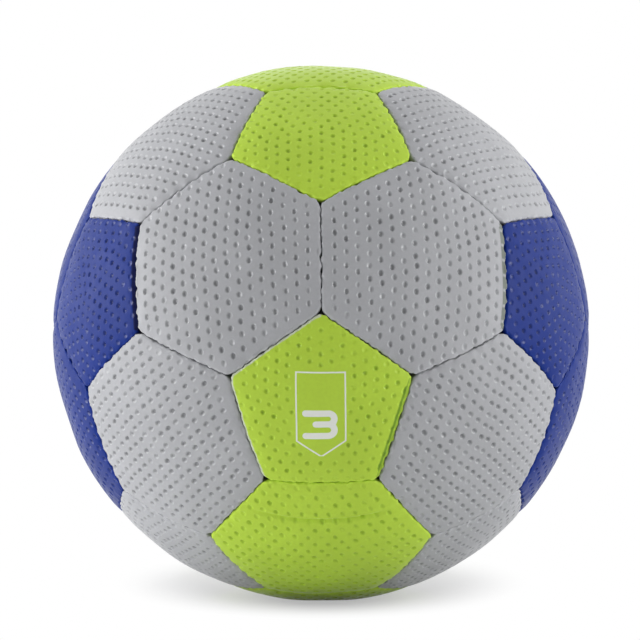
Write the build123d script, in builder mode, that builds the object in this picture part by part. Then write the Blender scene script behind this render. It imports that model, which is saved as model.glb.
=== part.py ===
from build123d import *
from itertools import combinations, product
import math
import os

# Handball, size 3: sewn cover panels over foam pads, woven linings and a rubber bladder with a valve.
# The origin is the ball's centre, +Z is up, and the front of the ball faces -Y.

# Ball and pose, in millimetres and degrees
CIRCUMFERENCE = 590.0  # round the crown of the cover panels
LEAN = 23.0  # how far the front seam is rolled up from level

# Cover panels
COVER_THICKNESS = 1.8
FLANGE_THICKNESS = 1.6  # turned-in edge that the seam is sewn through
SEAM_GAP = 0.2  # between the flanges of two neighbours
SHOULDER_RADIUS = 2.5  # rounded edge of a panel's outer face
CORNER_EASE = 1.0  # how much rounder a panel's corners are than its shoulders

# Layers under the covers
FOAM_THICKNESS = 2.4
LINING_THICKNESS = 1.2
BLADDER_THICKNESS = 1.2
LAYER_CLEARANCE = 0.1

# Seam threads
STITCHES_PER_SEAM = 7
THREAD_DIAMETER = 0.8
THREAD_CLEARANCE = 0.15  # to its needle holes and to the flanges
THREAD_TAIL = 1.2  # past the last needle hole of a seam

# Valve
VALVE_PANEL = "lime_pentagon_back_upper"
NEEDLE_DIAMETER = 2.0  # pump needle that the core takes
NEEDLE_DEPTH = 7.0
CORE_WALL = 1.8  # round the needle
CORE_HEAD_WIDTH = 1.0  # how far the core's inner head stands out past its shank
CORE_HEAD_HEIGHT = 2.0
HOUSING_WALL = 2.0
HOUSING_RECESS = 0.6  # top of the valve below the crown of the cover
HOUSING_FLANGE_DIAMETER = 28.0
HOUSING_FLANGE_THICKNESS = 1.5
HOUSING_TAIL = 5.0  # how far the stem reaches into the bladder past its flange
PATCH_DIAMETER = 24.0
VALVE_CLEARANCE = 0.1  # core in its housing
STEM_CLEARANCE = 0.2  # housing in the holes through the layers

# Radii from the ball's centre
BALL_RADIUS = CIRCUMFERENCE / (2 * math.pi)
COVER_INSIDE = BALL_RADIUS - COVER_THICKNESS
FOAM_OUTSIDE = COVER_INSIDE - LAYER_CLEARANCE
FOAM_INSIDE = FOAM_OUTSIDE - FOAM_THICKNESS
LINING_OUTSIDE = FOAM_INSIDE - LAYER_CLEARANCE
LINING_INSIDE = LINING_OUTSIDE - LINING_THICKNESS
BLADDER_OUTSIDE = LINING_INSIDE - LAYER_CLEARANCE
BLADDER_INSIDE = BLADDER_OUTSIDE - BLADDER_THICKNESS
STITCH_RADIUS = (COVER_INSIDE + LINING_INSIDE) / 2

# Distances from a seam's middle plane
FLANGE_FACE = SEAM_GAP / 2
FLANGE_BACK = FLANGE_FACE + FLANGE_THICKNESS
RAIL_OFFSET = FLANGE_BACK + THREAD_CLEARANCE + THREAD_DIAMETER / 2
PAD_EDGE = FLANGE_BACK + THREAD_DIAMETER + 2 * THREAD_CLEARANCE
CORNER_RADIUS = SHOULDER_RADIUS + CORNER_EASE

# Truncated icosahedron: the pentagons are centred on the corners of an icosahedron,
# the hexagons on its faces, and every seam plane passes through the ball's centre
GOLDEN = (1 + math.sqrt(5)) / 2
PENTAGON_SIDES = 5
HEXAGON_SIDES = 6
HEXAGON_SLOPE = math.degrees(math.atan(1 / GOLDEN**2))  # from a panel's axis to its seam planes
PENTAGON_SLOPE = math.degrees(math.atan(2 / GOLDEN**2)) - HEXAGON_SLOPE
PENTAGON_SPACING = math.degrees(math.atan(2))  # between the axes of two nearest pentagons
SAME_ANGLE = 0.1  # angles closer than this are the same

SIDE = {-1: "left", 1: "right"}
LEVEL = {-1: "lower", 1: "upper"}
FACING = {-1: "back", 1: "front"}


def ball_direction(right, up, front):
    """Unit vector, given along the ball's own right, up and front before it leans."""
    lean = math.radians(LEAN)
    up_axis = Vector(0, math.sin(lean), math.cos(lean))
    front_axis = Vector(0, -math.cos(lean), math.sin(lean))
    return (Vector(right, 0, 0) + up_axis * up + front_axis * front).normalized()


pentagons = {}
hexagons = {}
for one, two in product(SIDE, repeat=2):
    steep = 2 * GOLDEN + 1
    pentagons[f"lime_pentagon_{FACING[two]}_{LEVEL[one]}"] = ball_direction(0, one, two * GOLDEN)
    pentagons[f"grey_pentagon_{LEVEL[two]}_{SIDE[one]}"] = ball_direction(one, two * GOLDEN, 0)
    pentagons[f"blue_pentagon_{SIDE[one]}_{FACING[two]}"] = ball_direction(one * GOLDEN, 0, two)
    hexagons[f"grey_hexagon_{FACING[two]}_{SIDE[one]}"] = ball_direction(one * GOLDEN, 0, two * steep)
    hexagons[f"lime_hexagon_{LEVEL[one]}_{FACING[two]}"] = ball_direction(0, one * steep, two * GOLDEN)
    hexagons[f"blue_hexagon_{SIDE[one]}_{LEVEL[two]}"] = ball_direction(one * steep, two * GOLDEN, 0)
for one, two, three in product(SIDE, repeat=3):
    name = f"grey_hexagon_{LEVEL[two]}_{SIDE[one]}_{FACING[three]}"
    hexagons[name] = ball_direction(one, two, three)

# Seam corners lie a third of the way along the icosahedron's edges, and neighbours share a seam
corners = [
    (near * 2 + other).normalized()
    for near, other in product(pentagons.values(), repeat=2)
    if abs(near.get_angle(other) - PENTAGON_SPACING) < SAME_ANGLE
]
SEAM_ANGLE = min(a.get_angle(b) for a, b in combinations(corners, 2))
seams = [(a, b) for a, b in combinations(corners, 2) if a.get_angle(b) < SEAM_ANGLE + SAME_ANGLE]

# The needle holes stop short of the rounded corners
needle_hole = THREAD_DIAMETER / 2 + THREAD_CLEARANCE
corner_setback = CORNER_RADIUS * math.tan(math.pi / PENTAGON_SIDES)
STITCH_SPAN = SEAM_ANGLE - 2 * math.degrees((corner_setback + needle_hole) / STITCH_RADIUS)


def panel_plane(axis):
    """Plane at the ball's centre, with Z along the panel's axis and X towards one of its corners."""
    reach = min(axis.get_angle(point) for point in corners) + SAME_ANGLE
    corner = next(point for point in corners if axis.get_angle(point) < reach)
    return Plane(origin=(0, 0, 0), x_dir=corner - axis * corner.dot(axis), z_dir=axis)


def seam_plane(slope, sides, side):
    """Seam plane on one side of a panel that stands on +Z, with X through the seam's middle."""
    outward = Vector(1, 0, 0).rotate(Axis.Z, (side + 0.5) * 360 / sides)
    tilt = math.radians(slope)
    middle = outward * math.sin(tilt) + Vector(0, 0, math.cos(tilt))
    normal = outward * math.cos(tilt) - Vector(0, 0, math.sin(tilt))
    return Plane(origin=(0, 0, 0), x_dir=middle, z_dir=normal)


def panel_slab(sides, slope, inset, outside, inside):
    """A panel's outline between two spheres, with its sides set in from the seam planes."""
    sideways = (90, 0, 0)  # keeps the spheres' poles out of the panel
    with BuildPart() as slab:
        Sphere(outside, rotation=sideways)
        for side in range(sides):
            split(bisect_by=seam_plane(slope, sides, side).offset(-inset), keep=Keep.BOTTOM)
        Sphere(inside, rotation=sideways, mode=Mode.SUBTRACT)
    return slab.part


def cover_panel(sides, slope):
    """A cover with rounded shoulders, turned-in flanges and a row of needle holes along each seam."""
    hollow = panel_slab(sides, slope, FLANGE_BACK, COVER_INSIDE, LINING_INSIDE / 2)
    with BuildPart() as cover:
        add(panel_slab(sides, slope, FLANGE_FACE, BALL_RADIUS, LINING_INSIDE))
        fillet(cover.edges().filter_by(GeomType.LINE), CORNER_RADIUS)
        crown = cover.faces().sort_by(Axis.Z)[-1]
        fillet(crown.edges(), SHOULDER_RADIUS)
        add(hollow, mode=Mode.SUBTRACT)
        for side in range(sides):
            with BuildSketch(seam_plane(slope, sides, side)):
                with PolarLocations(
                    STITCH_RADIUS, STITCHES_PER_SEAM, -STITCH_SPAN / 2, STITCH_SPAN, endpoint=True
                ):
                    Circle(needle_hole)
            extrude(amount=-RAIL_OFFSET, mode=Mode.SUBTRACT)
    return cover.part


def panel_pads(sides, slope, panels, outside, inside, valve_hole):
    """The pads of one layer under all the panels of one outline, with a hole for the valve."""
    pad = panel_slab(sides, slope, PAD_EDGE, outside, inside)
    with BuildPart() as pads:
        with Locations(*[panel_plane(axis).location for axis in panels.values()]):
            add(pad)
        if VALVE_PANEL in panels:
            with Locations(panel_plane(panels[VALVE_PANEL]).location):
                Cylinder(valve_hole, BALL_RADIUS, align=ON_CENTRE, mode=Mode.SUBTRACT)
    return pads.part


def write(part, name):
    part.label = name
    export_step(part, f"parts/{name}.step")


os.makedirs("parts", exist_ok=True)
ON_CENTRE = (Align.CENTER, Align.CENTER, Align.MIN)
stem_radius = NEEDLE_DIAMETER / 2 + CORE_WALL + VALVE_CLEARANCE + HOUSING_WALL
stem_hole = stem_radius + STEM_CLEARANCE

# Cover panels
covers = (
    (pentagons, cover_panel(PENTAGON_SIDES, PENTAGON_SLOPE)),
    (hexagons, cover_panel(HEXAGON_SIDES, HEXAGON_SLOPE)),
)
for panels, cover in covers:
    for name, axis in panels.items():
        with BuildPart() as panel:
            with Locations(panel_plane(axis).location):
                add(cover)
                if name == VALVE_PANEL:
                    Cylinder(stem_hole, BALL_RADIUS, align=ON_CENTRE, mode=Mode.SUBTRACT)
        write(panel.part, name)

# Foam pads and linings
outlines = (
    ("pentagon", PENTAGON_SIDES, PENTAGON_SLOPE, pentagons),
    ("hexagon", HEXAGON_SIDES, HEXAGON_SLOPE, hexagons),
)
patch_hole = PATCH_DIAMETER / 2 + STEM_CLEARANCE
for outline, sides, slope, panels in outlines:
    foam = panel_pads(sides, slope, panels, FOAM_OUTSIDE, FOAM_INSIDE, stem_hole)
    write(foam, f"{outline}_foam_pads")
    lining = panel_pads(sides, slope, panels, LINING_OUTSIDE, LINING_INSIDE, patch_hole)
    write(lining, f"{outline}_linings")

# Seam threads: a running stitch crosses both flanges at every needle hole
stitch_angles = [
    STITCH_SPAN * (stitch / (STITCHES_PER_SEAM - 1) - 0.5) for stitch in range(STITCHES_PER_SEAM)
]
thread_points = []
for stitch, angle in enumerate(stitch_angles):
    hole = Vector(STITCH_RADIUS, 0, 0).rotate(Axis.Z, angle)
    near_side = Vector(0, 0, RAIL_OFFSET * (-1) ** stitch)
    thread_points += [hole + near_side, hole - near_side]
tail = Vector(0, THREAD_TAIL, 0)
thread_points = [thread_points[0] - tail, *thread_points, thread_points[-1] + tail]
with BuildPart() as seam_thread:
    with BuildLine() as thread_path:
        FilletPolyline(*thread_points, radius=RAIL_OFFSET - FLANGE_BACK)
    with BuildSketch(Plane(thread_path.line @ 0, z_dir=thread_path.line % 0)):
        Circle(THREAD_DIAMETER / 2)
    sweep()
thread_places = [
    Plane(origin=(0, 0, 0), x_dir=(a + b).normalized(), z_dir=a.cross(b).normalized()).location
    for a, b in seams
]
with BuildPart() as seam_stitching:
    with Locations(*thread_places):
        add(seam_thread.part)
write(seam_stitching.part, "seam_stitching")

# Bladder and valve, on the valve panel's axis
valve_place = panel_plane(pentagons[VALVE_PANEL])
valve_axis = Axis((0, 0, 0), valve_place.z_dir)
valve_profile = Plane(origin=(0, 0, 0), x_dir=valve_place.x_dir, z_dir=-valve_place.y_dir)
valve_top = BALL_RADIUS - HOUSING_RECESS
core_radius = NEEDLE_DIAMETER / 2 + CORE_WALL
housing_bore = core_radius + VALVE_CLEARANCE
housing_flange_outside = BLADDER_INSIDE - LAYER_CLEARANCE
housing_flange_inside = housing_flange_outside - HOUSING_FLANGE_THICKNESS
housing_bottom = housing_flange_inside - HOUSING_TAIL
core_bottom = housing_bottom - VALVE_CLEARANCE - CORE_HEAD_HEIGHT
FROM_AXIS = (Align.MIN, Align.MIN)

with BuildPart() as bladder:
    Sphere(BLADDER_OUTSIDE)
    Sphere(BLADDER_INSIDE, mode=Mode.SUBTRACT)
    with Locations(valve_place.location):
        Cylinder(stem_hole, BALL_RADIUS, align=ON_CENTRE, mode=Mode.SUBTRACT)
write(bladder.part, "bladder")

with BuildPart() as valve_patch:
    with BuildSketch(valve_profile):
        Circle(LINING_OUTSIDE)
        Circle(LINING_INSIDE, mode=Mode.SUBTRACT)
        with Locations((stem_hole, 0)):
            Rectangle(PATCH_DIAMETER / 2 - stem_hole, BALL_RADIUS, align=FROM_AXIS, mode=Mode.INTERSECT)
    revolve(axis=valve_axis)
write(valve_patch.part, "valve_patch")

with BuildPart() as valve_housing:
    with BuildSketch(valve_profile):
        Circle(housing_flange_outside)
        Circle(housing_flange_inside, mode=Mode.SUBTRACT)
        with Locations((housing_bore, 0)):
            Rectangle(
                HOUSING_FLANGE_DIAMETER / 2 - housing_bore, BALL_RADIUS, align=FROM_AXIS, mode=Mode.INTERSECT
            )
        with Locations((housing_bore, housing_bottom)):
            Rectangle(stem_radius - housing_bore, valve_top - housing_bottom, align=FROM_AXIS)
    revolve(axis=valve_axis)
write(valve_housing.part, "valve_housing")

with BuildPart() as valve_core:
    with BuildSketch(valve_profile):
        with Locations((0, core_bottom)):
            Rectangle(core_radius, valve_top - core_bottom, align=FROM_AXIS)
            Rectangle(core_radius + CORE_HEAD_WIDTH, CORE_HEAD_HEIGHT, align=FROM_AXIS)
        with Locations((0, valve_top - NEEDLE_DEPTH)):
            Rectangle(NEEDLE_DIAMETER / 2, NEEDLE_DEPTH, align=FROM_AXIS, mode=Mode.SUBTRACT)
    revolve(axis=valve_axis)
write(valve_core.part, "valve_core")
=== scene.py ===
"""A size 3 handball: pitted, sewn cover panels and the finish of every layer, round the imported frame."""
import itertools
import math

import bmesh
import bpy
from mathutils import Matrix, Vector, noise


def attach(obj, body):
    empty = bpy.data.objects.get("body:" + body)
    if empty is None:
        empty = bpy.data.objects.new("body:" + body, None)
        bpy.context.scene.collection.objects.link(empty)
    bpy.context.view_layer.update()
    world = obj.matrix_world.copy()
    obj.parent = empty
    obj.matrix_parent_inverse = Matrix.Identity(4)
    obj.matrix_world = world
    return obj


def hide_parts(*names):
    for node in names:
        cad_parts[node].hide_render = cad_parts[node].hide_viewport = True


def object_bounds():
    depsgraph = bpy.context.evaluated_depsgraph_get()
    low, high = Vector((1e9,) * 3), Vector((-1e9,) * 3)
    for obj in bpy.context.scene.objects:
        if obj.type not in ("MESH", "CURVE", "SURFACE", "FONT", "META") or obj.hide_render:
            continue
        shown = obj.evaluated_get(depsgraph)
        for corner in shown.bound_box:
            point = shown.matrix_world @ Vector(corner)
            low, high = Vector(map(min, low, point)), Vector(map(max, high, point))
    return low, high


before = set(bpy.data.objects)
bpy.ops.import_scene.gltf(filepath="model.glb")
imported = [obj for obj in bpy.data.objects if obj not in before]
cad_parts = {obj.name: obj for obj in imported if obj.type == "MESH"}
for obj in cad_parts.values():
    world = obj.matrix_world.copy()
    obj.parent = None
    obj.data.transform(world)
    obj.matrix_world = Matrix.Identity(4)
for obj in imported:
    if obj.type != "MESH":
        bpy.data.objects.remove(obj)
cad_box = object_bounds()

NOISE_SEED = 7  # gives the same wander and unevenness on every run
noise.seed_set(NOISE_SEED)

# Lengths are in millimetres up to the place where a finished mesh is written
MM = 0.001
BALL_RADIUS = (cad_box[1].x - cad_box[0].x) / 2 / MM
LEAN = math.radians(23)  # how far the front seam is rolled up from level
CUT_TOLERANCE = 0.001
MERGE_DISTANCE = 0.02

# Pits pressed into the covers
HEXAGON_ROWS = 3.86  # between two rows of pits
PENTAGON_ROWS = 3.12
SHEET_REACH = 48.0  # from a panel's middle to past its corners
PENTAGON_REACH = 44.0
SLANT_SPARE = 1.6  # how much further a grid of pits starts out, before it is slanted
PIT_RADIUS = 1.22
PIT_STRETCH = {5: (1.0, 1.0), 6: (1.0, 1.22)}  # of its two radii, by the panel's number of sides
PIT_STEPS = ((0.17, 0.0), (0.12, 0.07), (0.36, 0.38), (0.32, 0.15))  # width and drop of each ring inwards
PIT_MARGIN = 1.7  # least distance from a pit's middle to the seam
PIT_FADE = 2.5  # over this much further in, the pits reach their full depth
PIT_LEAST = 0.55  # share of it that they have at the margin
PIT_DEPTHS = {"grey": 1.0, "lime": 0.78, "blue": 0.9}  # share of the full depth, by colour
PIT_SPREAD = 0.7  # how much the depth of single pits varies
PIT_SPREAD_SCALE = 5.0
PIT_DRIFT = 0.45  # how far a pit strays from its place in the pattern
FAULT_SHIFT = Vector((-0.8, -1.15, 0))  # jump of the pattern along one diagonal of a hexagon
HEXAGON_FIRST_ROW = 0.52
# Panels whose pattern is drawn together up and down the ball, and to what share of its height
DRAWN_PANELS = {
    "grey_hexagon_lower_left_front": 0.885,
    "grey_hexagon_lower_right_front": 0.885,
    "lime_hexagon_lower_front": 0.95,
}

# Panel edges
CROWN_EDGE = 1.0  # from the seam to where the pitted crown ends and the plain border begins
CROWN_TOLERANCE = 0.05
BORDER_STEP = 0.8
SHOULDER = 0.55  # radius of the rounded edge
SHOULDER_STEPS = 5
SHOULDER_TURN = math.radians(80)
SIDE_STEP = 0.4  # of the upright side, below the rounded edge
CORNER_STEPS = 6
HEXAGON_CORNER = 4.2
PENTAGON_CORNER = 3.5
EDGE_STEP = 0.55  # longest stretch of rim between two points
NOTCH = 0.3  # how far a stitch draws the edge back from the seam
LEAF_GAP = 0.15  # how much wider the seam opens between two stitches
LEAF_MIDDLE = 0.8  # usual share of that, how much it varies, and the least of it
LEAF_SPREAD = 1.4
LEAF_LEAST = 0.1
OPENING_SCALE = 30.0  # over which the seams open more or less
SEAM_DEPTH = 5.6
FLANGE = 1.6
COVER_THICKNESS = 1.9
LINING_RINGS = (0.85, 0.65, 0.4, 0.2)  # shares of its width at which the inside of a layer is divided

# Sewing
STITCHES_PER_SEAM = 7
STITCH_PITCH = 5.28
SEWN_DEPTH = 3.0  # the sewing moves nothing further down than this
PULL = 0.7  # usual pull of a stitch, and how much it varies
PULL_SPREAD = 1.1
PUCKER = 0.45  # how far a stitch draws the edge down
PUCKER_REACH = 1.8
TWIST = 0.2  # the two edges of a seam rise over each other by turns between the stitches
SWAY = 0.05  # and lean over to either side
TWIST_REACH = 1.6
SEWING_SCALE = 9.0  # over which the stitches pull more or less
SINK = 0.45  # how far the panel sinks towards its seams
SINK_REACH = 2.4
BANK_WIDTH = 1.6  # an edge slopes down to its seam over this width
BANK = 0.25  # most that a common edge slopes down
OWN_WEIGHT = 3  # of the two panels at a seam, in the choice of how far each edge does
NEIGHBOUR_WEIGHT = 2
UNEVEN = 0.30  # waviness of the padded surface
UNEVEN_SCALE = 14.0
UNEVEN_MARGIN = 4.0  # from the seam to where it is full
PANEL_SEED = 7.3  # tells the waves and pits of one panel from those of the next
WARP = 0.45  # how far the seams wander
WARP_SCALE = 26.0
CROWN_DROP = 0.15  # keeps the waves of the crown inside the ball's size
JITTER = 0.03  # small unevenness of edges and pits
JITTER_SCALE = 1.2
FRAY = 0.6  # more of it at the cut edges
FRAY_REACH = 0.8

# Soft bend across the lower front panel
BENT_PANEL = "lime_hexagon_lower_front"
BEND_HEIGHT = 18.4  # above the panel's middle
BEND_RISE = 0.004  # of its two ends, for each square millimetre
BEND_WIDTH = 0.8
BEND_DEPTH = 1.1
BEND_LIP = 0.2  # of the soft swelling above it
BEND_LIP_HEIGHT = 2.6
BEND_LIP_WIDTH = 1.8
BEND_HALF_LENGTH = 25.0
BEND_BAND = 8.0  # divided finely, to either side of it
BEND_STEP = 0.7

# Layers under the covers, and the threads that join their flanges
SEAM_HALF_GAP = 0.1
THREAD_DIAMETER = 0.8
THREAD_TAIL = 1.2
THREAD_CLEARANCE = 0.15
STITCH_DEPTH = 3.7  # from the ball's outside to the needle holes
STITCH_RADIUS = BALL_RADIUS - STITCH_DEPTH
# From the seam to a thread's runs, and to the pads' edges
RAIL_OFFSET = FLANGE + THREAD_CLEARANCE + THREAD_DIAMETER / 2 + SEAM_HALF_GAP
PAD_EDGE = FLANGE + THREAD_DIAMETER + 2 * THREAD_CLEARANCE + SEAM_HALF_GAP
PAD_ROUND = 0.4
PAD_ROUND_STEPS = 3
PAD_ROWS = 5.0
FOAM_DEPTH = 2.6  # from the cover's crown down to the pad
FOAM_THICKNESS = 1.9
LINING_DEPTH = 4.6
LINING_THICKNESS = 0.9

# Printed size number in a plain frame, on the lower front pentagon
PRINT_PANEL = "lime_pentagon_front_lower"
PRINT_DOWN = "lime_hexagon_lower_front"  # the neighbour below it
FRAME_HALF_WIDTH = 8.2
FRAME_TOP = 13.0
FRAME_SIDE = 10.8  # how far down the sides go, below the panel's middle
FRAME_POINT = 16.4
FRAME_LINE = 0.52
UPPER_BOWL = 1.9
LOWER_BOWL = 2.06
NUMERAL_HALF_WIDTH = 4.8  # to the middle of its stroke
NUMERAL_MIDDLE = -0.4  # to the right of the panel's middle
NUMERAL_WAIST = -4.8  # height above the panel's middle
WAIST_START = -1.4  # left end of the waist's stroke
NUMERAL_STROKE = 2.2
PRINT_MARGIN = 1.4
PRINT_CUTS = 6

# Valve, on the far side
VALVE_PANEL = "lime_pentagon_back_upper"
VALVE_HOLE = 5.1
VALVE_RIM = 1.0
VALVE_SMOOTH = 8.6
VALVE_STEPS = 32
PATCH_HOLE = 12.2

GOLDEN = (1 + math.sqrt(5)) / 2
HEXAGON_SLOPE = math.atan(1 / GOLDEN**2)  # from a panel's axis to its seam planes
PENTAGON_SLOPE = math.atan(2 / GOLDEN**2) - HEXAGON_SLOPE
NEIGHBOUR_ANGLE = math.radians(45)  # the axes of panels that share a seam are closer than this
PENTAGON_SPACING = math.radians(65)  # and those of neighbouring pentagons closer than this
SEAM_ANGLE = math.radians(25)  # a seam's two ends are closer than this
UPPER_FIRST = 0.01  # weight of height in the choice of a panel's first side

SIDE = {-1: "left", 1: "right"}
LEVEL = {-1: "lower", 1: "upper"}
FACING = {-1: "back", 1: "front"}


def ball_direction(right, up, front):
    """Unit vector, given along the ball's own right, up and front before it leans."""
    up_axis = Vector((0, math.sin(LEAN), math.cos(LEAN)))
    front_axis = Vector((0, -math.cos(LEAN), math.sin(LEAN)))
    return (Vector((right, 0, 0)) + up_axis * up + front_axis * front).normalized()


pentagons = {}
hexagons = {}
for one, two in itertools.product(SIDE, repeat=2):
    steep = 2 * GOLDEN + 1
    pentagons[f"lime_pentagon_{FACING[two]}_{LEVEL[one]}"] = ball_direction(0, one, two * GOLDEN)
    pentagons[f"grey_pentagon_{LEVEL[two]}_{SIDE[one]}"] = ball_direction(one, two * GOLDEN, 0)
    pentagons[f"blue_pentagon_{SIDE[one]}_{FACING[two]}"] = ball_direction(one * GOLDEN, 0, two)
    hexagons[f"grey_hexagon_{FACING[two]}_{SIDE[one]}"] = ball_direction(one * GOLDEN, 0, two * steep)
    hexagons[f"lime_hexagon_{LEVEL[one]}_{FACING[two]}"] = ball_direction(0, one * steep, two * GOLDEN)
    hexagons[f"blue_hexagon_{SIDE[one]}_{LEVEL[two]}"] = ball_direction(one * steep, two * GOLDEN, 0)
for one, two, three in itertools.product(SIDE, repeat=3):
    name = f"grey_hexagon_{LEVEL[two]}_{SIDE[one]}_{FACING[three]}"
    hexagons[name] = ball_direction(one, two, three)
all_panels = {**hexagons, **pentagons}

# Seam corners lie a third of the way along the lines between neighbouring pentagons
corners = [
    (near * 2 + other).normalized()
    for near, other in itertools.permutations(pentagons.values(), 2)
    if near.angle(other) < PENTAGON_SPACING
]
seams = [pair for pair in itertools.combinations(corners, 2) if pair[0].angle(pair[1]) < SEAM_ANGLE]

# Edges that are folded down, so that a strip of their side shows, darkened with painted shade: for a panel
# and the neighbour there, how wide that strip of painted shade is and how far it slopes down
FOLDED_EDGES = {
    ("lime_pentagon_front_lower", "grey_hexagon_lower_right_front"): (1.7, 0.3),
    ("blue_pentagon_left_front", "grey_hexagon_front_left"): (1.5, 0.8),
    ("grey_hexagon_front_right", "blue_pentagon_right_front"): (2.2, 0.05),
}
UNFOLDED = (-1.0, None)

# Edges where the dye stops short of the cut, and how far
RAW_EDGES = {
    ("lime_pentagon_front_lower", "grey_hexagon_front_left"): 1.0,
    ("lime_pentagon_front_lower", "grey_hexagon_lower_left_front"): 1.0,
    ("grey_hexagon_front_right", "blue_pentagon_right_front"): 0.4,
    ("grey_hexagon_front_left", "blue_pentagon_left_front"): 0.5,
}


def first_neighbour(name):
    """Axis of the panel that a panel's first side faces: the lower one for the print, else one aside."""
    if name == PRINT_PANEL:
        return hexagons[PRINT_DOWN]
    others = pentagons if name in hexagons else hexagons
    near = [other for other in others.values() if other.angle(all_panels[name]) < NEIGHBOUR_ANGLE]
    return max(near, key=lambda other: abs(other.x) + UPPER_FIRST * other.z)


def panel_turn(name):
    """Turns a panel made on +Z, with its first side towards +X, to its place on the ball."""
    axis = all_panels[name]
    towards = first_neighbour(name)
    first = (towards - axis * towards.dot(axis)).normalized()
    return Matrix((first, axis.cross(first), axis)).transposed()


def local_direction(name, direction):
    """A direction on the ball, along the flat panel before it is turned to its place."""
    return Vector((*(panel_turn(name).transposed() @ direction).xy, 0)).normalized()


up_bent_panel = local_direction(BENT_PANEL, all_panels[PRINT_PANEL])


class Outline:
    """A panel's rounded polygon, on the plane that touches the ball at the panel's middle.

    Seen from the ball's centre, every seam is a straight line on that plane.
    """

    def __init__(self, sides, slope, corner_radius):
        self.sides = sides
        self.slope = slope
        self.stretch = 1 / math.cos(slope) ** 2  # of lengths across the seam, seen on the plane
        self.corner = corner_radius * self.stretch
        self.core = BALL_RADIUS * math.tan(slope) - self.corner
        self.core_half_side = self.core * math.tan(math.pi / sides)
        self.turn = 2 * math.pi / sides

    def place(self, x, y):
        """Side, distance from its seam, stitches from the side's middle, and the edge's centre and arm."""
        side = round(math.atan2(y, x) / self.turn)
        angle = side * self.turn
        cos, sin = math.cos(angle), math.sin(angle)
        out = x * cos + y * sin
        along = y * cos - x * sin
        rest = max(-self.core_half_side, min(self.core_half_side, along))
        reach = out - self.core
        arm = (1.0, 0.0)
        if reach > 0:
            reach = math.hypot(out - self.core, along - rest)
            arm = ((out - self.core) / reach, (along - rest) / reach)
        distance = (self.corner - reach) / self.stretch
        stitch = math.atan(along * math.cos(self.slope) / BALL_RADIUS) * BALL_RADIUS / STITCH_PITCH
        centre = (cos * self.core - sin * rest, sin * self.core + cos * rest)
        arm = (cos * arm[0] - sin * arm[1], sin * arm[0] + cos * arm[1])
        return side % self.sides, distance, stitch, centre, arm

    def at_distance(self, x, y, distance):
        """The point straight across the edge from this one, at another distance from the seam."""
        *_, centre, arm = self.place(x, y)
        reach = self.corner - distance * self.stretch
        return centre[0] + arm[0] * reach, centre[1] + arm[1] * reach


HEXAGON = Outline(6, HEXAGON_SLOPE, HEXAGON_CORNER)
PENTAGON = Outline(5, PENTAGON_SLOPE, PENTAGON_CORNER)


def spread(x, y):
    """Puts a point of the flat-cut panel on the touching plane."""
    radius = math.hypot(x, y) / BALL_RADIUS
    factor = math.tan(radius) / radius if radius else 1.0
    return x * factor, y * factor


def cut(sheet, place, across, geometry=None, clear_outer=False):
    """Divides a sheet, or some of it, along a plane, and may clear what lies past it."""
    if geometry is None:
        geometry = sheet.verts[:] + sheet.edges[:] + sheet.faces[:]
    bmesh.ops.bisect_plane(
        sheet, geom=geometry, dist=CUT_TOLERANCE, plane_co=place, plane_no=across, clear_outer=clear_outer
    )


def lattice(outline, rows, reach, first_row=0.0):
    """Flat sheet of triangles, with rows across X and a corner at the place of each pit.

    The corners also line up along the lines from the panel's middle to its corners.
    """
    sheet = bmesh.new()
    pitch = 2 * rows * math.tan(outline.turn / 2)
    half = math.ceil(SLANT_SPARE * reach / pitch)
    bmesh.ops.create_grid(sheet, x_segments=2 * half, y_segments=2 * half, size=half)
    slant = Matrix(((rows, 0, 0), (pitch / 2, pitch, 0), (0, 0, 1))).to_4x4()
    slant.translation.x = first_row * rows
    bmesh.ops.transform(sheet, matrix=slant, verts=sheet.verts)
    far = [corner for corner in sheet.verts if corner.co.length > reach]
    bmesh.ops.delete(sheet, geom=far, context="VERTS")
    bmesh.ops.triangulate(sheet, faces=sheet.faces, quad_method="SHORT_EDGE")
    return sheet


def hexagon_lattice():
    """One pattern over the whole panel, with a jump along a diagonal."""
    sheet = lattice(HEXAGON, HEXAGON_ROWS, SHEET_REACH, HEXAGON_FIRST_ROW)
    for corner in sheet.verts:
        if corner.co.y > corner.co.x * math.tan(HEXAGON.turn / 2):
            corner.co += FAULT_SHIFT
    return sheet


def pentagon_lattice():
    """Five sectors, each with its rows along its own seam, so that the pits stand in rings."""
    sheet = lattice(PENTAGON, PENTAGON_ROWS, PENTAGON_REACH)
    for hand in (-1, 1):
        edge = hand * PENTAGON.turn / 2
        across = hand * Vector((-math.sin(edge), math.cos(edge), 0))
        cut(sheet, (0, 0, 0), across, clear_outer=True)
    sector = sheet.verts[:] + sheet.edges[:] + sheet.faces[:]
    for side in range(1, PENTAGON.sides):
        copy = bmesh.ops.duplicate(sheet, geom=sector)["geom"]
        points = [item for item in copy if isinstance(item, bmesh.types.BMVert)]
        bmesh.ops.rotate(sheet, verts=points, matrix=Matrix.Rotation(side * PENTAGON.turn, 3, "Z"))
    bmesh.ops.remove_doubles(sheet, verts=sheet.verts, dist=MERGE_DISTANCE)
    return sheet


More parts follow.
